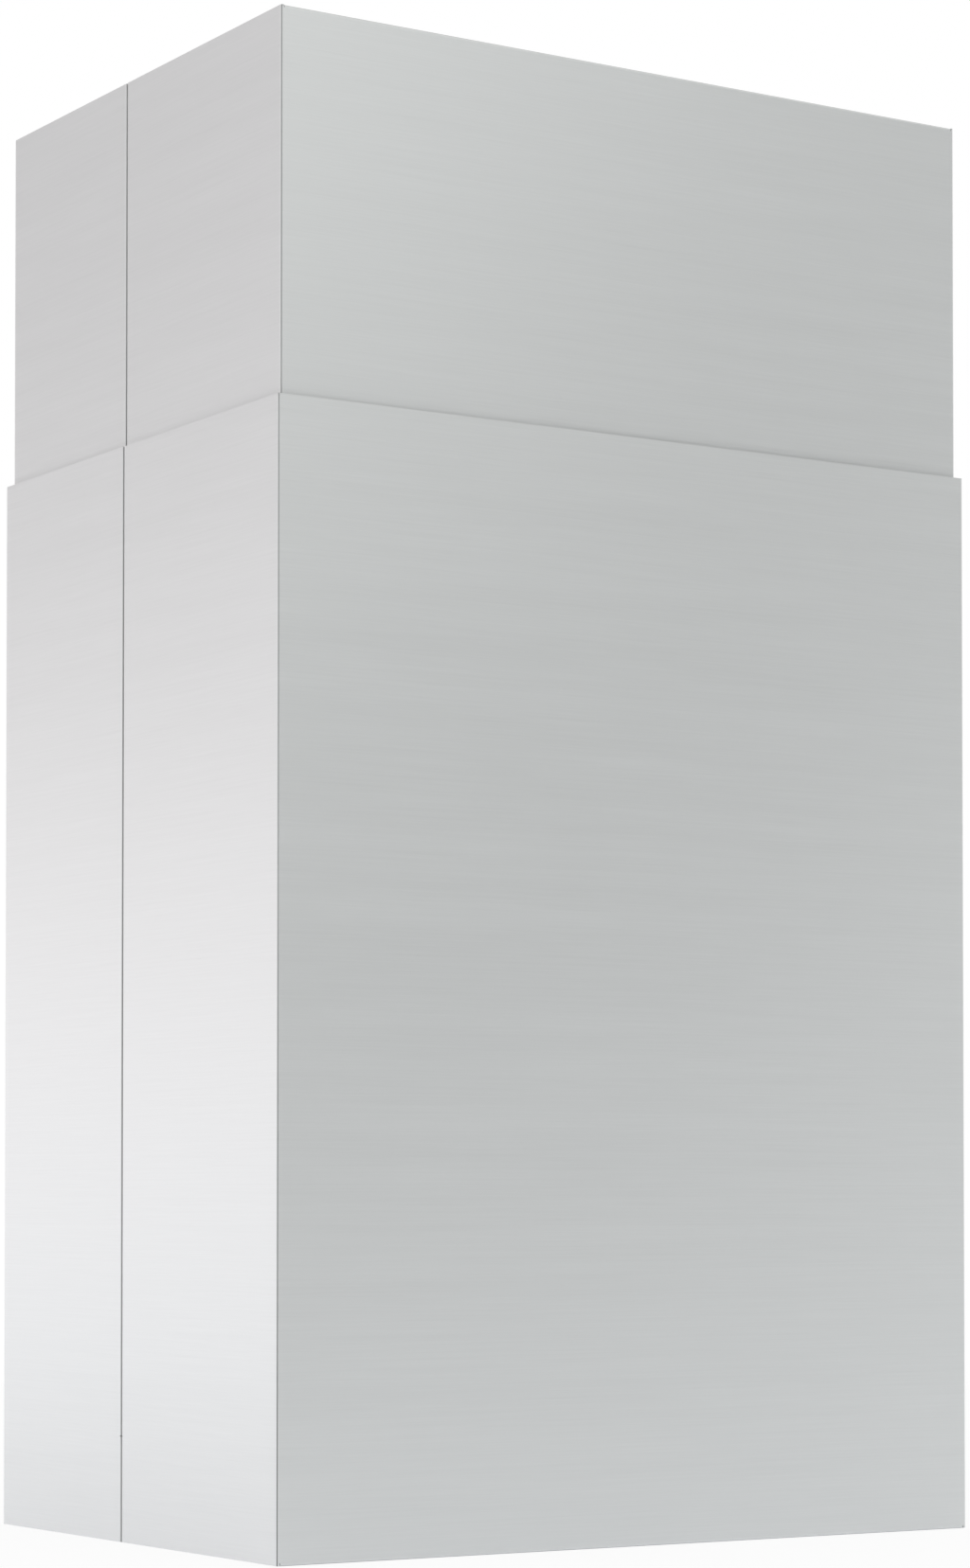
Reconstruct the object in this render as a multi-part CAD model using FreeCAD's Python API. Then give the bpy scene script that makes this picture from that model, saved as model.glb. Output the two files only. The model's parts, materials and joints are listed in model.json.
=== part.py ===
import FreeCAD
import Part
import math
import os

from FreeCAD import Vector

# Telescopic chimney cover of an island cooker hood, in millimetres.
# The lower section stands on the hood, and the upper section slides inside it, up to the ceiling.
# Each section is two half shells, folded from one sheet each, that meet at a seam down both narrow sides.
# The origin is at the middle of the bottom rim: +X runs along the wide front, +Y to the back, +Z up.

# The two sections
LOWER_WIDTH = 345.0
LOWER_DEPTH = 245.0
LOWER_HEIGHT = 460.0
UPPER_HEIGHT = 400.0
UPPER_REVEAL = 155.0

# The seam between a front and a rear half shell, behind the middle of the depth
LOWER_SEAM_OFFSET = 9.5
UPPER_SEAM_OFFSET = 12.0
SEAM_GAP = 0.7

# The sheet, its folds, and the hem that stiffens each seam edge and clears the section that slides past it
SHEET = 0.6
FOLD_INSIDE = 0.2
HEM_INSIDE = 0.1
HEM_WIDTH = 10.0
HEM_RUNNING_GAP = 1.1

# The lugs that are folded inwards at the foot of each seam edge, and their screw holes
LUG_HEIGHT = 44.0
LUG_REACH = 14.0
LUG_SLIT = 0.4
LUG_CORNER = 3.0
LUG_HOLE_EDGE = 11.0
LUG_HOLE_CLEARANCE = 0.5

# The flanges that are folded inwards along the wide walls, at the foot and at the ceiling
FLANGE_WIDTH = 16.0
FLANGE_END_GAP = 1.0
FLANGE_CORNER = 5.0
FLANGE_SLIT = 0.3
FLANGE_HOLE_SPACING = 200.0
HOOD_HOLE_DIAMETER = 4.5
CEILING_SLOT_WIDTH = 5.5
CEILING_SLOT_LENGTH = 12.0

# The cheese head screw and the hexagon nut that clamp two lugs together
SCREW_DIAMETER = 4.0
SCREW_PAST_NUT = 2.9
HEAD_DIAMETER = 7.0
HEAD_HEIGHT = 2.6
RECESS_SPAN = 4.2
RECESS_WIDTH = 1.0
RECESS_DEPTH = 1.3
NUT_ACROSS_FLATS = 7.0
NUT_HEIGHT = 3.2
NUT_BORE_CLEARANCE = 0.05

# The glide pads that are stuck inside the mouth of the lower section
PAD_LENGTH = 40.0
PAD_HEIGHT = 20.0
PAD_CORNER = 4.0
PAD_RUNNING_GAP = 0.3
PAD_BELOW_RIM = 20.0
PAD_FROM_FOLD = 45.0
PAD_FROM_SEAM = 30.0

# Sizes that follow from those above
FOLD_OUTSIDE = FOLD_INSIDE + SHEET
HEM_OUTSIDE = HEM_INSIDE + SHEET
STEP_IN = 2 * HEM_OUTSIDE + HEM_RUNNING_GAP
UPPER_WIDTH = LOWER_WIDTH - 2 * STEP_IN
UPPER_DEPTH = LOWER_DEPTH - 2 * STEP_IN
UPPER_FOOT = LOWER_HEIGHT + UPPER_REVEAL - UPPER_HEIGHT
PAD_THICKNESS = STEP_IN - SHEET - PAD_RUNNING_GAP
LUG_HOLE_INSET = (FOLD_OUTSIDE + LUG_REACH) / 2
LUG_HOLE_HEIGHTS = (LUG_HOLE_EDGE, LUG_HEIGHT - LUG_HOLE_EDGE)
LUG_HOLE_DIAMETER = SCREW_DIAMETER + LUG_HOLE_CLEARANCE
SCREW_LENGTH = 2 * SHEET + SEAM_GAP + NUT_HEIGHT + SCREW_PAST_NUT
FLANGE_HOLE_INSET = (FOLD_OUTSIDE + FLANGE_WIDTH) / 2
FLANGE_RISE = FOLD_OUTSIDE + FLANGE_SLIT

PLAN_AXES = (Vector(1, 0, 0), Vector(0, 1, 0))
SIDE_AXES = (Vector(0, 1, 0), Vector(0, 0, 1))
UP = Vector(0, 0, 1)
BACK = Vector(0, 1, 0)
OVERCUT = 1.0
SAME_POINT = 0.01


def folded_strip(start, heading, steps, axes):
    """The section of a folded sheet. The path follows the sheet's outer face from start, with its heading in
    degrees, and each step is a straight run (length,) or a fold to the left (degrees, inside radius)."""

    def towards(bearing):
        angle = math.radians(bearing)
        return axes[0] * math.cos(angle) + axes[1] * math.sin(angle)

    here = axes[0] * start[0] + axes[1] * start[1]
    first_cap = Part.LineSegment(here + towards(heading + 90) * SHEET, here)
    outer_face = []
    inner_face = []
    for step in steps:
        to_left = towards(heading + 90)
        if len(step) == 1:
            there = here + towards(heading) * step[0]
            outer_face.append(Part.LineSegment(here, there))
            inner_face.append(Part.LineSegment(here + to_left * SHEET, there + to_left * SHEET))
        else:
            turn, inside = step
            centre = here + to_left * (inside + SHEET)
            for face, radius in ((outer_face, inside + SHEET), (inner_face, inside)):
                points = [centre + towards(heading - 90 + turn * share) * radius for share in (0, 0.5, 1)]
                face.append(Part.Arc(*points))
            heading += turn
            there = centre + towards(heading - 90) * (inside + SHEET)
        here = there
    last_cap = Part.LineSegment(here, here + towards(heading + 90) * SHEET)
    outline = outer_face + [last_cap] + inner_face[::-1] + [first_cap]
    return Part.Face(Part.Wire(Part.__sortEdges__([piece.toShape() for piece in outline])))


def shell_slice(width, reach, edge_form, low, high):
    """A slice of a half shell between two heights: a wide wall on y = 0 and two legs back to y = reach.
    The edge form is a hem, a lug, or the bare leg that the slit between those two leaves."""
    wall = width - 2 * FOLD_OUTSIDE
    if edge_form == "hem":
        flat = HEM_WIDTH - HEM_OUTSIDE
        edge = [(flat,), (180, HEM_INSIDE)]
        leg = reach - FOLD_OUTSIDE - HEM_OUTSIDE
        start = (-width / 2 + 2 * HEM_OUTSIDE, reach - HEM_OUTSIDE - flat)
        heading = 90
    elif edge_form == "lug":
        flat = LUG_REACH - FOLD_OUTSIDE
        edge = [(flat,), (90, FOLD_INSIDE)]
        leg = reach - 2 * FOLD_OUTSIDE
        start = (-width / 2 + LUG_REACH, reach)
        heading = 180
    else:
        edge = []
        leg = reach - FOLD_OUTSIDE - max(FOLD_OUTSIDE, HEM_OUTSIDE)
        start = (-width / 2, FOLD_OUTSIDE + leg)
        heading = 270
    corner = (90, FOLD_INSIDE)
    steps = edge + [(leg,), corner, (wall,), corner, (leg,)] + edge[::-1]
    section = folded_strip(start, heading, steps, PLAN_AXES)
    section.translate(UP * low)
    return section.extrude(UP * (high - low))


def corner_edges(plate, corners):
    """The edges that run through a plate at its corners, each with one of these points at its middle."""
    chosen = []
    for edge in plate.Edges:
        if any(edge.CenterOfMass.distanceToPoint(corner) < SAME_POINT for corner in corners):
            chosen.append(edge)
    return chosen


def flange_strip(width):
    """A flange that folds in from the foot of the wide wall, on z = 0, its free corners cut off."""
    length = width - 2 * (SHEET + FLANGE_END_GAP)
    steps = [(FLANGE_SLIT,), (90, FOLD_INSIDE), (FLANGE_WIDTH - FOLD_OUTSIDE,)]
    section = folded_strip((0, FLANGE_RISE), 270, steps, SIDE_AXES)
    section.translate(Vector(-length / 2, 0, 0))
    strip = section.extrude(Vector(length, 0, 0))
    corners = [Vector(side * length / 2, FLANGE_WIDTH, SHEET / 2) for side in (-1, 1)]
    return strip.makeChamfer(FLANGE_CORNER, corner_edges(strip, corners))


def slot(length, breadth, height):
    """An upright obround along X, centred on the origin. It is round where its length is its breadth."""
    straight = max(length - breadth, 0)
    ends = [Vector(side * straight / 2, 0, -height / 2) for side in (-1, 1)]
    cutter = Part.makeCylinder(breadth / 2, height, ends[0])
    if straight > 0:
        block = Part.makeBox(straight, breadth, height, Vector(-straight / 2, -breadth / 2, -height / 2))
        cutter = cutter.fuse([block, Part.makeCylinder(breadth / 2, height, ends[1])]).removeSplitter()
    return cutter


def flange_with_holes(width, hole_length, hole_breadth):
    """The flange with its two fixing holes."""
    flange = flange_strip(width)
    for side in (-1, 1):
        hole = slot(hole_length, hole_breadth, SHEET + 2 * OVERCUT)
        hole.translate(Vector(side * FLANGE_HOLE_SPACING / 2, FLANGE_HOLE_INSET, SHEET / 2))
        flange = flange.cut(hole)
    return flange


def half_shell(width, reach, height, flange, flange_at_top):
    """One half of a section, from its wide wall on y = 0 and its foot on z = 0."""
    slices = [
        shell_slice(width, reach, "lug", 0, LUG_HEIGHT),
        shell_slice(width, reach, "bare", LUG_HEIGHT, LUG_HEIGHT + LUG_SLIT),
        shell_slice(width, reach, "hem", LUG_HEIGHT + LUG_SLIT, height),
    ]
    shell = slices[0].fuse(slices[1:]).removeSplitter()
    lug_corners = [
        Vector(side * (width / 2 - LUG_REACH), reach - SHEET / 2, level)
        for side in (-1, 1)
        for level in (0, LUG_HEIGHT)
    ]
    shell = shell.makeChamfer(LUG_CORNER, corner_edges(shell, lug_corners))
    for side in (-1, 1):
        for level in LUG_HOLE_HEIGHTS:
            foot = Vector(side * (width / 2 - LUG_HOLE_INSET), reach - SHEET - OVERCUT, level)
            shell = shell.cut(Part.makeCylinder(LUG_HOLE_DIAMETER / 2, SHEET + 2 * OVERCUT, foot, BACK))
    opening = flange.BoundBox.XLength + 2 * FLANGE_SLIT
    low = height - FLANGE_RISE if flange_at_top else -OVERCUT
    corner = Vector(-opening / 2, -OVERCUT, low)
    clear = Part.makeBox(opening, SHEET + 2 * OVERCUT, FLANGE_RISE + OVERCUT, corner)
    placed = flange
    if flange_at_top:
        placed = flange.mirror(Vector(0, 0, height / 2), UP)
    return shell.cut(clear).fuse(placed).removeSplitter()


def section_halves(width, depth, height, foot, seam, flange, flange_at_top):
    """The front and the rear half shell of one section, in place on both sides of its seam."""
    front = half_shell(width, depth / 2 + seam - SEAM_GAP / 2, height, flange, flange_at_top)
    front.translate(Vector(0, -depth / 2, foot))
    rear = half_shell(width, depth / 2 - seam - SEAM_GAP / 2, height, flange, flange_at_top)
    rear.rotate(Vector(0, 0, 0), UP, 180)
    rear.translate(Vector(0, depth / 2, foot))
    return front, rear


def cheese_head_screw():
    """A screw along +Y. Its straight-sided head, with a cross recess, seats on y = 0 from the front."""
    shank = Part.makeCylinder(SCREW_DIAMETER / 2, SCREW_LENGTH, Vector(0, 0, 0), BACK)
    screw = shank.fuse(Part.makeCylinder(HEAD_DIAMETER / 2, HEAD_HEIGHT, Vector(0, -HEAD_HEIGHT, 0), BACK))
    for length, breadth in ((RECESS_SPAN, RECESS_WIDTH), (RECESS_WIDTH, RECESS_SPAN)):
        corner = Vector(-length / 2, -HEAD_HEIGHT - OVERCUT, -breadth / 2)
        screw = screw.cut(Part.makeBox(length, RECESS_DEPTH + OVERCUT, breadth, corner))
    return screw


def hexagon_nut():
    """A nut along +Y, with its seat on y = 0."""
    tip = NUT_ACROSS_FLATS / 2 / math.cos(math.radians(30))
    corners = []
    for bearing in range(30, 360, 60):
        angle = math.radians(bearing)
        corners.append(Vector(math.cos(angle), 0, math.sin(angle)) * tip)
    prism = Part.Face(Part.makePolygon(corners + corners[:1])).extrude(BACK * NUT_HEIGHT)
    bore = Part.makeCylinder(SCREW_DIAMETER / 2 + NUT_BORE_CLEARANCE, NUT_HEIGHT, Vector(0, 0, 0), BACK)
    return prism.cut(bore)


def lug_fasteners(section, width, foot, seam):
    """The screw and the nut at each lug hole of one section, by name."""
    fasteners = {}
    for side_name, side in (("left", -1), ("right", 1)):
        for level_name, level in zip(("bottom", "top"), LUG_HOLE_HEIGHTS):
            x = side * (width / 2 - LUG_HOLE_INSET)
            screw = cheese_head_screw()
            screw.translate(Vector(x, seam - SEAM_GAP / 2 - SHEET, foot + level))
            nut = hexagon_nut()
            nut.translate(Vector(x, seam + SEAM_GAP / 2 + SHEET, foot + level))
            place = f"{section}_{side_name}_{level_name}"
            fasteners[f"{place}_screw"] = screw
            fasteners[f"{place}_nut"] = nut
    return fasteners


def glide_pad():
    """A pad that stands on y = 0 and faces +Y, centred on x = 0 with its foot on z = 0."""
    plate = Part.makeBox(PAD_LENGTH, PAD_THICKNESS, PAD_HEIGHT, Vector(-PAD_LENGTH / 2, 0, 0))
    corners = [
        Vector(side * PAD_LENGTH / 2, PAD_THICKNESS / 2, level)
        for side in (-1, 1)
        for level in (0, PAD_HEIGHT)
    ]
    return plate.makeChamfer(PAD_CORNER, corner_edges(plate, corners))


def glide_pads():
    """The pads inside the mouth of the lower section, two on each wall, by name."""
    level = LOWER_HEIGHT - PAD_BELOW_RIM - PAD_HEIGHT
    wall_x = LOWER_WIDTH / 2 - SHEET
    wall_y = LOWER_DEPTH / 2 - SHEET
    across = LOWER_WIDTH / 2 - PAD_FROM_FOLD - PAD_LENGTH / 2
    along = PAD_FROM_SEAM + PAD_LENGTH / 2
    places = {
        "front_left": (-across, -wall_y, 0),
        "front_right": (across, -wall_y, 0),
        "rear_left": (-across, wall_y, 180),
        "rear_right": (across, wall_y, 180),
        "left_front": (-wall_x, LOWER_SEAM_OFFSET - along, 270),
        "left_rear": (-wall_x, LOWER_SEAM_OFFSET + along, 270),
        "right_front": (wall_x, LOWER_SEAM_OFFSET - along, 90),
        "right_rear": (wall_x, LOWER_SEAM_OFFSET + along, 90),
    }
    pads = {}
    for name, (x, y, turn) in places.items():
        pad = glide_pad()
        pad.rotate(Vector(0, 0, 0), UP, turn)
        pad.translate(Vector(x, y, level))
        pads[f"glide_pad_{name}"] = pad
    return pads


def main():
    os.makedirs("parts", exist_ok=True)
    hood_flange = flange_with_holes(LOWER_WIDTH, HOOD_HOLE_DIAMETER, HOOD_HOLE_DIAMETER)
    ceiling_flange = flange_with_holes(UPPER_WIDTH, CEILING_SLOT_LENGTH, CEILING_SLOT_WIDTH)
    lower_front, lower_rear = section_halves(
        LOWER_WIDTH, LOWER_DEPTH, LOWER_HEIGHT, 0, LOWER_SEAM_OFFSET, hood_flange, False
    )
    upper_front, upper_rear = section_halves(
        UPPER_WIDTH, UPPER_DEPTH, UPPER_HEIGHT, UPPER_FOOT, UPPER_SEAM_OFFSET, ceiling_flange, True
    )
    nodes = {
        "lower_front_shell": lower_front,
        "lower_rear_shell": lower_rear,
        "upper_front_shell": upper_front,
        "upper_rear_shell": upper_rear,
        **lug_fasteners("lower", LOWER_WIDTH, 0, LOWER_SEAM_OFFSET),
        **lug_fasteners("upper", UPPER_WIDTH, UPPER_FOOT, UPPER_SEAM_OFFSET),
        **glide_pads(),
    }
    for name, shape in nodes.items():
        print(f"{name}: valid {shape.isValid()}, {len(shape.Solids)} solid, {shape.Volume:.1f} mm3")
        shape.exportStep(f"parts/{name}.step")


main()
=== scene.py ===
"""The telescopic chimney cover of a cooker hood: its finishes, its small pieces and its studio, in metres.
The four folded half shells are the frame's own solids with a satin finish. The screws, nuts and glide
pads are modelled here with their threads, chamfers and rounded edges, and stand for the plainer solids."""
import json
import math

import bpy
import numpy as np
from mathutils import Matrix, Vector


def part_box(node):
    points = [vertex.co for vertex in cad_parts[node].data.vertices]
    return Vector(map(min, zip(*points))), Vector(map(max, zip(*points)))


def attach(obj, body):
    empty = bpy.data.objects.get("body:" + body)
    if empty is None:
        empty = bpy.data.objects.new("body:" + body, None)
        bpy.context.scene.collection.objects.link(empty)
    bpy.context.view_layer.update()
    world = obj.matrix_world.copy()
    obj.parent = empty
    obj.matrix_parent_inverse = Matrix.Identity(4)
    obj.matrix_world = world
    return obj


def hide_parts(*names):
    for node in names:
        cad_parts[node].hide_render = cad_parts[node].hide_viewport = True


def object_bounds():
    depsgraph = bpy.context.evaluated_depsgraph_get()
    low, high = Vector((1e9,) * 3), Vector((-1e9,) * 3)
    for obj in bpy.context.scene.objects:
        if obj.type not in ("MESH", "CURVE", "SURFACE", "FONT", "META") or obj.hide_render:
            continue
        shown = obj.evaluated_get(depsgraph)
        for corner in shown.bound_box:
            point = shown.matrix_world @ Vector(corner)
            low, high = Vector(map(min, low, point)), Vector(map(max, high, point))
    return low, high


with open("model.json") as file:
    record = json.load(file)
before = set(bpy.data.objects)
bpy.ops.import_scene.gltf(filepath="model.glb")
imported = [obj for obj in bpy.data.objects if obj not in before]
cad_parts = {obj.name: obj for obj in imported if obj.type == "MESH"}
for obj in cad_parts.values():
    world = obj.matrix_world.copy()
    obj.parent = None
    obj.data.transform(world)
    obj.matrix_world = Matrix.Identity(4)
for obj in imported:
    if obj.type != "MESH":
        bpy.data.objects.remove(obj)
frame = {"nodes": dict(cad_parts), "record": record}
cad_box = [list(corner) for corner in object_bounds()]

MM = 0.001

# The camera, at the photograph's viewing angle: heading is to the right of +Y, pitch is above the horizon
CAMERA_PLACE = (-0.9385, -1.4758, 0.1417)
CAMERA_HEADING = 32.503
CAMERA_PITCH = 1.519
CAMERA_LENS = 91.19
CAMERA_SENSOR = 36.0
CAMERA_SHIFT = 0.20

# The floor. Its last value is how far within the chimney's outline the shade inside the foot ends
FLOOR_RADIUS = 1.4
FLOOR_STEPS = 96
FLOOR_DROP = 0.1 * MM
FLOOR_TONE = 0.92
FLOOR_SHADOW_SHARE = 0.10
FOOT_SHADE_EDGE = 0.6 * MM

# The studio is an even white room. A strip and a box add light to it, and four flags take light away.
# Each has the bearing of its middle, clockwise from +Y, and its height above the horizon and its reach, all
# in degrees, and its strength. The strip's band has a height and half a breadth of its own, as sines
STRIP = (328, 0, 50, 0.93)
STRIP_LIFT = 0.033
STRIP_BREADTH = 0.136
HIGH_BOX = (156, 21, 18, 1.85)
CAMERA_FLAG = (212, 5, 52, -0.85)
FRONT_FLAG = (155, 12, 22.5, -0.92)
HIGH_FLAG = (150, 20, 20, -0.55)
LEFT_FLAG = (337, 14, 18, -0.54)

# The colours of the studio's light: white to the camera, and to the object a faintly green room with a
# rosy left side over a cool floor. Room and floor blend within this sine of the horizon
WHITE = (1.0, 1.0, 1.0, 1.0)
ROOM_TINT = (0.979, 1.0, 0.983, 1.0)
LEFT_TINT = (1.037, 1.0, 1.01, 1.0)
FLOOR_TINT = (0.962, 1.0, 1.036, 1.0)
LEFT_SIDE = (332, 8, 70, 1.0)
HORIZON_BLUR = 0.03

# The sheet: the darkest and lightest tone of its grain, and of its inside as it left the mill. The grain
# scatters much of the light widely, so only a share of it is mirrored as by clean metal. The outer finish
# ends between two depths behind the section's outline, and so does the painted shade line along a fold
GRAIN_TONES = (0.722, 0.815)
MILL_TONES = (0.50, 0.56)
METAL_SHARE = 0.48
OUTER_EDGE = (-0.45 * MM, -0.35 * MM)
FOLD_EDGE = (-0.5 * MM, -0.3 * MM)

# The upper section's sheet is a little darker than the lower one's, as painted shade that sets off the
# step.
# Along its folds the sheet's colour is darkened as painted shade, and most at the foot of its corners
UPPER_SHADE_TONE = 0.985
FOLD_SHADE_TONE = 0.55
CORNER_FOOT_SHADE_TONE = 0.14
CORNER_FOOT_SHADE_REACH = 300 * MM

# The cheese head screw: the frame gives its place and length. Over half a pitch the thread's flank rises
# by its steepness, in depths of the thread, and what is below the root or above the crest is cut flat
HEAD_HEIGHT = 2.6 * MM
HEAD_EDGE = 0.35 * MM
RECESS_SPAN = 4.2 * MM
RECESS_WIDTH = 1.0 * MM
RECESS_DEPTH = 1.3 * MM
RECESS_TAPER = 0.72
SHANK_RADIUS = 2.0 * MM
THREAD_PITCH = 0.7 * MM
THREAD_DEPTH = 0.38 * MM
THREAD_STEEPNESS = 2.3
THREAD_ROOT = 0.45
TIP_CHAMFER = 0.5 * MM

# The hexagon nut
NUT_BORE_RADIUS = 2.05 * MM
NUT_BORE_CHAMFER = 0.3 * MM
NUT_CHAMFER_ANGLE = 30.0

# The glide pad
PAD_CORNER = 4.0 * MM
PAD_EDGE = 0.5 * MM

# How finely the small pieces are divided
AROUND_SCREW = 64
RINGS_PER_TURN = 8
AROUND_NUT = 72
PAD_CORNER_STEPS = 10
EDGE_STEPS = 5
SHARP_ANGLE = 32.0


class Wire:
    """One output of a shader node. Arithmetic on wires and numbers adds Math nodes to the same tree."""

    def __init__(self, tree, socket=None):
        self.tree = tree
        self.socket = socket

    def node(self, kind, settings=None, sockets=None, output=0):
        """Any node: its settings first, then its sockets' values or links, and the output that it gives."""
        made = self.tree.nodes.new(kind)
        for name, value in (settings or {}).items():
            setattr(made, name, value)
        for name, value in (sockets or {}).items():
            if isinstance(value, Wire):
                self.tree.links.new(value.socket, made.inputs[name])
            else:
                made.inputs[name].default_value = value
        return Wire(self.tree, made.outputs[output] if made.outputs else None)

    def math(self, operation, first, second=0.0):
        return self.node("ShaderNodeMath", {"operation": operation}, {0: first, 1: second})

    def __add__(self, other):
        return self.math("ADD", self, other)

    def __radd__(self, other):
        return self.math("ADD", other, self)

    def __sub__(self, other):
        return self.math("SUBTRACT", self, other)

    def __rsub__(self, other):
        return self.math("SUBTRACT", other, self)

    def __mul__(self, other):
        return self.math("MULTIPLY", self, other)

    def __rmul__(self, other):
        return self.math("MULTIPLY", other, self)

    def __truediv__(self, other):
        return self.math("DIVIDE", self, other)

    def __abs__(self):
        return self.math("ABSOLUTE", self)

    def larger(self, other):
        return self.math("MAXIMUM", self, other)

    def smaller(self, other):
        return self.math("MINIMUM", self, other)

    def parts(self):
        """The X, Y and Z of a vector."""
        split = self.node("ShaderNodeSeparateXYZ", None, {0: self})
        return [Wire(self.tree, output) for output in split.socket.node.outputs]

    def step(self, low, high):
        """A smooth rise from 0 at low to 1 at high."""
        settings = {"interpolation_type": "SMOOTHSTEP"}
        return self.node("ShaderNodeMapRange", settings, {"Value": self, "From Min": low, "From Max": high})

    def mix(self, first, second):
        """A colour between two colours, by this share of the second."""
        return self.node("ShaderNodeMix", {"data_type": "RGBA"}, {0: self, 6: first, 7: second}, 2)

    def streaks(self, across, length, breadth, detail):
        """Noise in long streaks: this wire runs along them and across counts from one to the next."""
        grid = self.node("ShaderNodeCombineXYZ", None, {0: self / length, 1: across / breadth})
        sockets = {"Vector": grid, "Scale": 1.0, "Detail": detail, "Roughness": 0.55}
        return self.node("ShaderNodeTexNoise", {"noise_dimensions": "2D"}, sockets)

    def speckle(self, size, detail):
        """Even noise in the round, at this place."""
        sockets = {"Vector": self, "Scale": 1 / size, "Detail": detail, "Roughness": 0.55}
        return self.node("ShaderNodeTexNoise", {"noise_dimensions": "3D"}, sockets)


def grey(level, warmth=0.0):
    """A near neutral colour. Warmth above 0 leans to red, and below 0 to blue."""
    return (level * (1 + warmth), level, level * (1 - warmth), 1.0)


def new_material(name):
    """An empty node material, with a wire to start its tree from."""
    finish = bpy.data.materials.new(name)
    finish.use_nodes = True
    finish.node_tree.nodes.clear()
    return finish, Wire(finish.node_tree)


def surface(start, shader):
    """Ends a material with this shader."""
    start.node("ShaderNodeOutputMaterial", None, {"Surface": shader})


def satin_steel(section, tone):
    """Stainless sheet for one section. The outer faces have a fine satin grain that runs level round the
    section, and the inner faces keep the duller finish of the mill. Metal is outer where it lies close to
    the section's outline. At its corners, its hems and the ceiling flange, a fold has stretched the grain
    and left it rougher, and there its colour is darkened as painted shade, most at the foot of the corners."""
    front_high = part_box(f"{section}_front_shell")[1]
    rear_low, rear_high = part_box(f"{section}_rear_shell")
    seam = (front_high.y + rear_low.y) / 2
    half_gap = (rear_low.y - front_high.y) / 2
    finish, start = new_material(f"{section}_satin_steel")
    x, y, z = start.node("ShaderNodeTexCoord", None, None, "Object").parts()
    normal_z = start.node("ShaderNodeNewGeometry", None, None, "Normal").parts()[2]
    lying = abs(normal_z).step(0.6, 0.9)
    along = x + y
    across = z + (y - z) * lying
    side = abs(x) - front_high.x
    front = abs(y) - rear_high.y
    hem = half_gap - abs(y - seam)
    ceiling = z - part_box("upper_front_shell")[1].z
    outer = side.larger(front).step(*OUTER_EDGE)
    corner = side.smaller(front).step(*FOLD_EDGE)
    fold = corner.larger(side.smaller(hem).larger(front.smaller(ceiling)).step(*FOLD_EDGE))
    foot = corner * (1 - z.step(0.0, CORNER_FOOT_SHADE_REACH))
    hairs = along.streaks(across, 35 * MM, 0.22 * MM, 2.0)
    lines = along.streaks(across, 90 * MM, 1.1 * MM, 2.0)
    bands = along.streaks(across, 420 * MM, 9 * MM, 1.0)
    grain = hairs * 0.45 + lines * 0.35 + bands * 0.20
    mill = start.node("ShaderNodeTexCoord", None, None, "Object").speckle(0.5 * MM, 2.0)
    # Painted shade: the colour is darker along corners, seam hems and the ceiling flange, darkest at the
    # corners' foot
    fold_shade_tone = foot.mix(grey(FOLD_SHADE_TONE), grey(CORNER_FOOT_SHADE_TONE))
    satin_tone = fold.mix(grain.mix(*[grey(level * tone) for level in GRAIN_TONES]), fold_shade_tone)
    mill_tone = mill.mix(*[grey(level) for level in MILL_TONES])
    satin_roughness = 0.25 + 0.10 * grain + 0.06 * fold
    mill_roughness = 0.32 + 0.10 * mill
    height = grain * outer + mill * (1 - outer)
    bump = start.node("ShaderNodeBump", None, {"Strength": 0.35, "Distance": 0.006 * MM, "Height": height})
    shader = start.node("ShaderNodeBsdfPrincipled", None, {
        "Base Color": outer.mix(mill_tone, satin_tone),
        "Metallic": METAL_SHARE,
        "Roughness": outer * satin_roughness + (1 - outer) * mill_roughness,
        "Anisotropic": 0.6,
        "Anisotropic Rotation": 0.25,
        "Normal": bump,
    })
    surface(start, shader)
    return finish


def zinc_plate():
    """Bright zinc on the screws and nuts, with the faint cloudy bloom of passivated plating."""
    finish, start = new_material("zinc_plate")
    place = start.node("ShaderNodeTexCoord", None, None, "Object")
    bloom = place.speckle(1.6 * MM, 3.0)
    grit = place.speckle(0.12 * MM, 2.0)
    tone = bloom.mix(grey(0.60, -0.02), grey(0.70, 0.015))
    bump = start.node("ShaderNodeBump", None, {"Strength": 0.3, "Distance": 0.01 * MM, "Height": grit})
    shader = start.node("ShaderNodeBsdfPrincipled", None, {
        "Base Color": tone,
        "Metallic": 1.0,
        "Roughness": 0.24 + 0.16 * bloom,
        "Normal": bump,
    })
    surface(start, shader)
    return finish


def pad_plastic():
    """Off-white glide plastic, slightly mottled, with a matte and finely pebbled skin."""
    finish, start = new_material("pad_plastic")
    place = start.node("ShaderNodeTexCoord", None, None, "Object")
    mottle = place.speckle(5 * MM, 3.0)
    skin = place.speckle(0.25 * MM, 2.0)
    bump = start.node("ShaderNodeBump", None, {"Strength": 0.25, "Distance": 0.02 * MM, "Height": skin})
    shader = start.node("ShaderNodeBsdfPrincipled", None, {
        "Base Color": mottle.mix(grey(0.70, 0.02), grey(0.78, 0.012)),
        "Roughness": 0.48 + 0.14 * skin,
        "IOR": 1.5,
        "Normal": bump,
    })
    surface(start, shader)
    return finish


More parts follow.
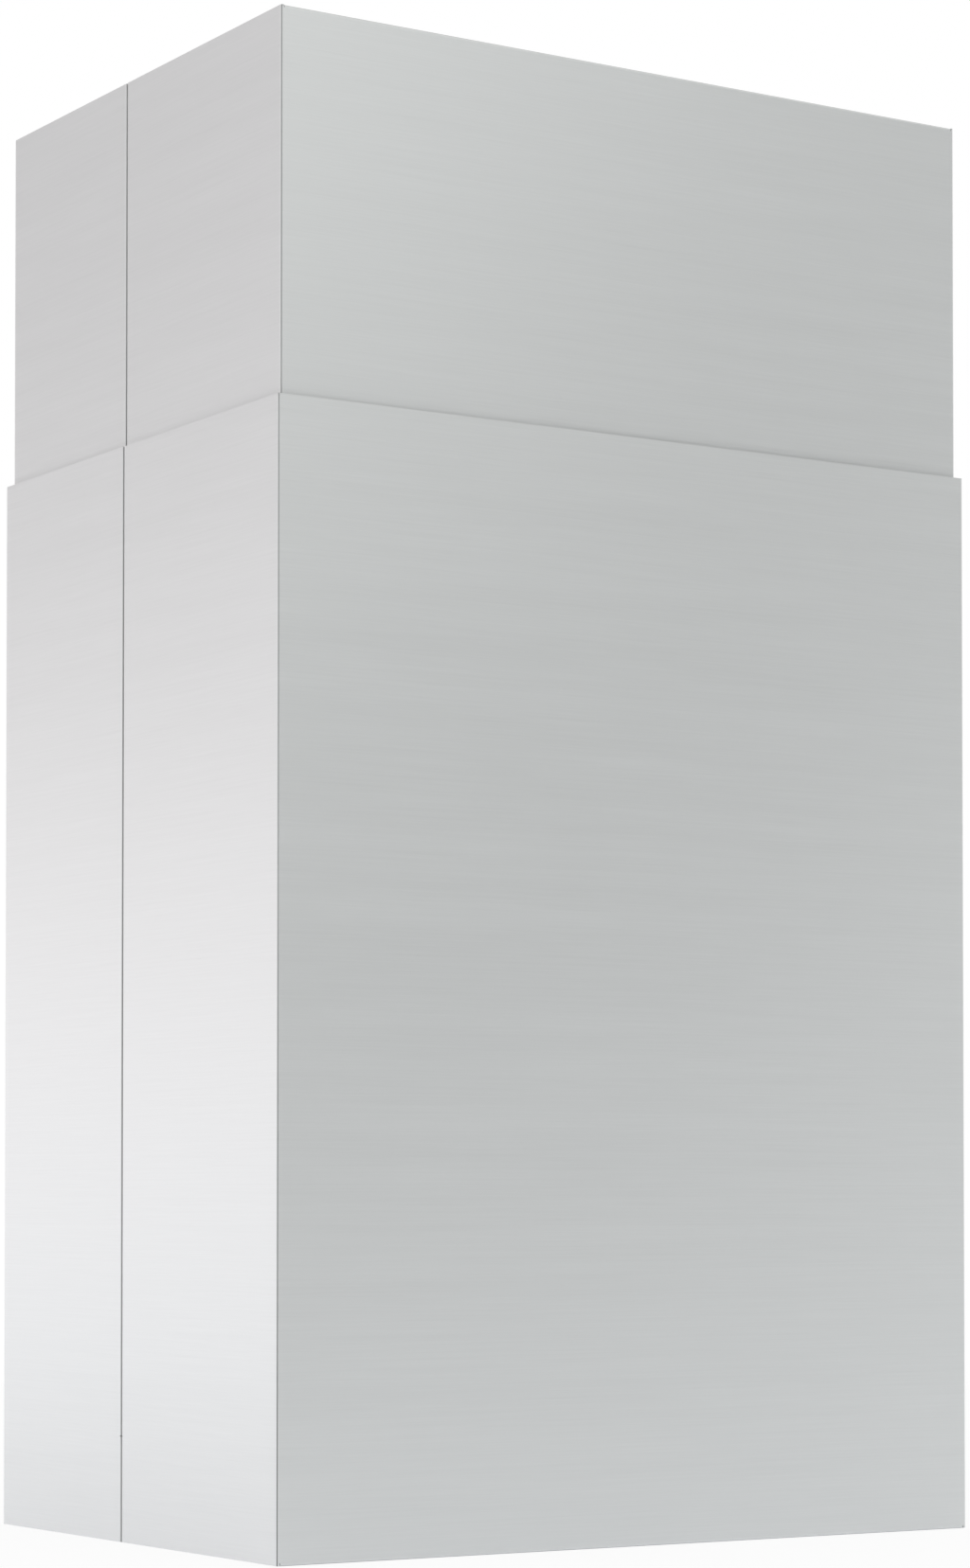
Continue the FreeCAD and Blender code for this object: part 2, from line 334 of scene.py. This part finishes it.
def pale_floor():
    """A pale floor that shows the camera and the steel a white studio, and keeps a soft share of shadow.
    Inside the chimney's foot it has no more light than falls on it."""
    finish, start = new_material("pale_floor")
    paths = start.node("ShaderNodeLightPath").socket.node.outputs
    rays = ("Is Camera Ray", "Is Glossy Ray", "Is Transmission Ray")
    camera, glossy, transmitted = [Wire(start.tree, paths[ray]) for ray in rays]
    shown = camera.larger(glossy).larger(transmitted)
    shaded = start.node("ShaderNodeBsdfDiffuse", None, {"Color": grey(FLOOR_TONE)})
    tint = camera.mix(FLOOR_TINT, WHITE)
    white = start.node("ShaderNodeEmission", None, {"Color": tint, "Strength": 1.0})
    x, y = start.node("ShaderNodeTexCoord", None, None, "Object").parts()[:2]
    half_width, half_depth = cad_box[1][:2]
    past_outline = (abs(x) - half_width).larger(abs(y) - half_depth)
    outside = past_outline.step(-2 * FOOT_SHADE_EDGE, -FOOT_SHADE_EDGE)
    share = shown * outside * (1 - FLOOR_SHADOW_SHARE)
    surface(start, start.node("ShaderNodeMixShader", None, {0: share, 1: shaded, 2: white}))
    return finish


def grid_faces(rings, around, closed):
    """The quads between neighbouring rings of points. Each ring is a loop, and so is the row of rings if it
    is closed."""
    ring = np.arange(rings if closed else rings - 1)[:, None]
    step = np.arange(around)[None, :]
    here = ring * around + step
    beside = ring * around + (step + 1) % around
    above = (ring + 1) % rings * around
    return np.stack([here, beside, above + (step + 1) % around, above + step], axis=-1).reshape(-1, 4)


def small_piece(name, rings, material, closed=False, poles=None):
    """A mesh object through rings of points, an array of ring by step by xyz. Poles are the two middle
    points that close the first and the last ring with fans."""
    count, around = rings.shape[:2]
    points = rings.reshape(-1, 3)
    faces = grid_faces(count, around, closed).tolist()
    if poles is not None:
        first, last = len(points), len(points) + 1
        points = np.concatenate([points, poles])
        step = np.arange(around)
        after = (step + 1) % around
        end = (count - 1) * around
        faces += np.stack([after, step, np.full(around, first)], axis=-1).tolist()
        faces += np.stack([end + step, end + after, np.full(around, last)], axis=-1).tolist()
    mesh = bpy.data.meshes.new(name)
    mesh.from_pydata(points.tolist(), [], faces)
    mesh.shade_smooth()
    mesh.set_sharp_from_angle(angle=math.radians(SHARP_ANGLE))
    mesh.materials.append(material)
    piece = bpy.data.objects.new(name, mesh)
    bpy.context.scene.collection.objects.link(piece)
    return piece


def turned_rings(radius, depth, bearing, axis_x, axis_z, top):
    """Rings round an axis along +Y: x and z are radius times the cosine and sine of the bearing, and y is
    depth below the top. Radius and depth are arrays of ring by step."""
    x = axis_x + radius * np.cos(bearing)
    z = axis_z + radius * np.sin(bearing)
    return np.stack([x, top + depth + 0 * x, z], axis=-1)


def cross_recess(bearing):
    """The outline of a cross with square ends: in each direction the nearer of an arm's end and side."""
    quarter = (bearing + math.pi / 4) % (math.pi / 2) - math.pi / 4
    side = RECESS_WIDTH / 2 / np.maximum(np.abs(np.sin(quarter)), 1e-6)
    return np.minimum(RECESS_SPAN / 2 / np.cos(quarter), side)


def threaded_screw(node, material):
    """A cheese head screw in place of a node. Its rings go from the cross recess over the head's rounded
    edge and down the shank, where the radius falls from crest to root and back once a pitch, turning with
    the bearing."""
    low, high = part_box(node)
    axis_x, axis_z = (low.x + high.x) / 2, (low.z + high.z) / 2
    length = high.y - low.y
    head_radius = (high.x - low.x) / 2
    bearing = np.linspace(0, 2 * math.pi, AROUND_SCREW, endpoint=False)[None, :]
    bend = np.linspace(0, math.pi / 2, EDGE_STEPS)[:, None]
    level = 0 * bearing
    recess = cross_recess(bearing)
    turns = (length - HEAD_HEIGHT - TIP_CHAMFER) / THREAD_PITCH
    run = np.linspace(HEAD_HEIGHT, length - TIP_CHAMFER, int(turns * RINGS_PER_TURN))[:, None]
    phase = (run / THREAD_PITCH - bearing / (2 * math.pi)) % 1
    ridge = np.clip(THREAD_STEEPNESS * np.abs(2 * phase - 1) - THREAD_ROOT, 0, 1)
    start_run = np.clip((run - HEAD_HEIGHT) / THREAD_PITCH, 0, 1)
    thread = SHANK_RADIUS - THREAD_DEPTH * start_run * (1 - ridge)
    radius = np.concatenate([
        recess * RECESS_TAPER,
        recess,
        level + head_radius - HEAD_EDGE,
        level + head_radius - HEAD_EDGE * (1 - np.sin(bend[1:])),
        level + head_radius,
        thread,
        level + SHANK_RADIUS - THREAD_DEPTH - TIP_CHAMFER / 2,
    ])
    depth = np.concatenate([
        level + RECESS_DEPTH,
        level,
        level,
        level + HEAD_EDGE * (1 - np.cos(bend[1:])),
        level + HEAD_HEIGHT,
        level + run,
        level + length,
    ])
    rings = turned_rings(radius, depth, bearing, axis_x, axis_z, low.y)
    poles = np.array([[axis_x, low.y + RECESS_DEPTH, axis_z], [axis_x, high.y, axis_z]])
    return small_piece(f"{node}_threaded", rings, material, poles=poles)


def chamfered_nut(node, material):
    """A hexagon nut in place of a node. Round the axis the radius is half the width across flats over the
    cosine of the angle from the nearest flat, held at both ends to a cone, and the profile loops back
    through the bore."""
    low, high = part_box(node)
    axis_x, axis_z = (low.x + high.x) / 2, (low.z + high.z) / 2
    height = high.y - low.y
    half_flats = (high.x - low.x) / 2
    bearing = np.linspace(0, 2 * math.pi, AROUND_NUT, endpoint=False)[None, :]
    sixth = math.pi / 3
    hexagon = half_flats / np.cos((bearing + sixth / 2) % sixth - sixth / 2)
    slope = math.tan(math.radians(NUT_CHAMFER_ANGLE))
    corner = half_flats / math.cos(sixth / 2) - half_flats
    rise = np.linspace(0, corner * slope, EDGE_STEPS)[:, None]
    crown = np.minimum(hexagon, half_flats + rise / slope)
    level = 0 * bearing
    bore = level + NUT_BORE_RADIUS
    mouth = bore + NUT_BORE_CHAMFER
    radius = np.concatenate([crown, crown[::-1], mouth, bore, bore, mouth])
    depth = np.concatenate([
        level + rise,
        level + height - rise[::-1],
        level + height,
        level + height - NUT_BORE_CHAMFER,
        level + NUT_BORE_CHAMFER,
        level,
    ])
    rings = turned_rings(radius, depth, bearing, axis_x, axis_z, low.y)
    return small_piece(f"{node}_chamfered", rings, material, closed=True)


def rounded_pad(node, material):
    """A glide pad in place of a node. Each ring is a rectangle with round corners, first on the wall and
    then drawn in over a rounded edge towards the pad's running face."""
    low, high = (np.array(corner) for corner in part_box(node))
    size = high - low
    thin = int(np.argmin(size))
    wide = 1 - thin
    inward = -np.sign(low[thin] + high[thin])
    wall = high[thin] if inward < 0 else low[thin]
    turn = np.linspace(0, math.pi / 2, PAD_CORNER_STEPS)
    bearing = np.concatenate([turn + quarter * math.pi / 2 for quarter in range(4)])[None, :]
    quarter = np.repeat(np.arange(4), PAD_CORNER_STEPS)[None, :]
    core_wide = (size[wide] / 2 - PAD_CORNER) * np.where((quarter == 0) | (quarter == 3), 1, -1)
    core_up = (size[2] / 2 - PAD_CORNER) * np.where(quarter < 2, 1, -1)
    bend = np.linspace(0, math.pi / 2, EDGE_STEPS)[:, None]
    draw_in = np.concatenate([0 * bend[:1], PAD_EDGE * (1 - np.cos(bend))])
    stand = np.concatenate([0 * bend[:1], size[thin] - PAD_EDGE * (1 - np.sin(bend))])
    rings = np.zeros((len(stand), bearing.shape[1], 3))
    rings[..., wide] = (low[wide] + high[wide]) / 2 + core_wide + (PAD_CORNER - draw_in) * np.cos(bearing)
    rings[..., 2] = (low[2] + high[2]) / 2 + core_up + (PAD_CORNER - draw_in) * np.sin(bearing)
    rings[..., thin] = wall + inward * stand
    poles = np.tile((low + high) / 2, (2, 1))
    poles[:, thin] = wall, wall + inward * size[thin]
    if inward * (1 if thin == 1 else -1) > 0:
        rings = rings[:, ::-1]
    return small_piece(f"{node}_rounded", rings, material, poles=poles)


def dress_shells():
    """The satin finish on the half shells of both sections."""
    # The upper section gets a darker copy of the steel, as painted shade that sets off the step
    for section, tone in (("lower", 1.0), ("upper", UPPER_SHADE_TONE)):
        finish = satin_steel(section, tone)
        for half in ("front", "rear"):
            for place in frame["nodes"][f"{section}_{half}_shell"].material_slots:
                place.material = finish


def dress_small_pieces():
    """A detailed piece in place of each screw, nut and pad, on the body that carries it."""
    zinc = zinc_plate()
    plastic = pad_plastic()
    makers = {
        "screw": (threaded_screw, zinc, "fastener_steel"),
        "nut": (chamfered_nut, zinc, "fastener_steel"),
        "pad": (rounded_pad, plastic, "pad_plastic"),
    }
    for body, nodes in frame["record"]["behaviour"]["bodies"].items():
        for node in nodes:
            kind = "pad" if node.startswith("glide_pad") else node.split("_")[-1]
            if kind in makers:
                make, material, slot = makers[kind]
                piece = make(node, material)
                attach(piece, body)
                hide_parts(node)


def build_floor():
    """A level disc just under the foot of the chimney: the cosine and sine of each bearing times the
    radius."""
    bearing = np.linspace(0, 2 * math.pi, FLOOR_STEPS, endpoint=False)
    rim = FLOOR_RADIUS * np.column_stack([np.cos(bearing), np.sin(bearing)])
    points = np.column_stack([rim, np.full(FLOOR_STEPS, -FLOOR_DROP)])
    mesh = bpy.data.meshes.new("floor")
    mesh.from_pydata(points.tolist(), [], [range(FLOOR_STEPS)])
    mesh.materials.append(pale_floor())
    floor = bpy.data.objects.new("floor", mesh)
    bpy.context.scene.collection.objects.link(floor)


def bearing_vector(bearing, lift):
    """The direction at this bearing, clockwise from +Y, and this height above the horizon, in degrees."""
    around, up = math.radians(bearing), math.radians(lift)
    return (math.sin(around) * math.cos(up), math.cos(around) * math.cos(up), math.sin(up))


def studio_light():
    """The room's light. To the camera it is plain white. To the object it is even, with a level strip of
    more light on the left, a box high in front, and soft dark flags at the camera, in front, round that box
    and on the left."""
    world = bpy.data.worlds.new("studio")
    bpy.context.scene.world = world
    world.use_nodes = True
    world.node_tree.nodes.clear()
    start = Wire(world.node_tree)
    direction = start.node("ShaderNodeTexCoord", None, None, "Generated")
    lift = direction.parts()[2]

    def light(bearing, height, reach, strength):
        """This strength in one direction, falling smoothly to nothing at its reach."""
        sockets = {0: direction, 1: bearing_vector(bearing, height)}
        near = start.node("ShaderNodeVectorMath", {"operation": "DOT_PRODUCT"}, sockets, "Value")
        return strength * near.step(math.cos(math.radians(reach)), 1.0)

    level = 1 + light(*STRIP) * (1 - abs(lift - STRIP_LIFT).step(0.0, STRIP_BREADTH))
    for place in (HIGH_BOX, CAMERA_FLAG, FRONT_FLAG, HIGH_FLAG, LEFT_FLAG):
        level = level + light(*place)
    paths = start.node("ShaderNodeLightPath").socket.node.outputs
    camera = Wire(start.tree, paths["Is Camera Ray"])
    below = 1 - lift.step(-HORIZON_BLUR, HORIZON_BLUR)
    tint = camera.mix(below.mix(light(*LEFT_SIDE).mix(ROOM_TINT, LEFT_TINT), FLOOR_TINT), WHITE)
    strength = camera + (1 - camera) * level
    shown = start.node("ShaderNodeBackground", None, {"Color": tint, "Strength": strength})
    start.node("ShaderNodeOutputWorld", None, {"Surface": shown})


def build_camera():
    """The camera, turned by its heading about Z and tipped up by its pitch."""
    heading, pitch = math.radians(CAMERA_HEADING), math.radians(CAMERA_PITCH)
    lens = bpy.data.cameras.new("camera")
    lens.lens = CAMERA_LENS
    lens.sensor_width = CAMERA_SENSOR
    lens.sensor_fit = "AUTO"
    lens.shift_y = CAMERA_SHIFT
    camera = bpy.data.objects.new("camera", lens)
    upright = Matrix.Rotation(-heading, 4, "Z") @ Matrix.Rotation(math.pi / 2 + pitch, 4, "X")
    camera.matrix_world = Matrix.Translation(Vector(CAMERA_PLACE)) @ upright
    bpy.context.scene.collection.objects.link(camera)
    bpy.context.scene.camera = camera


bpy.context.scene.view_settings.view_transform = "Standard"
dress_shells()
dress_small_pieces()
build_floor()
studio_light()
build_camera()
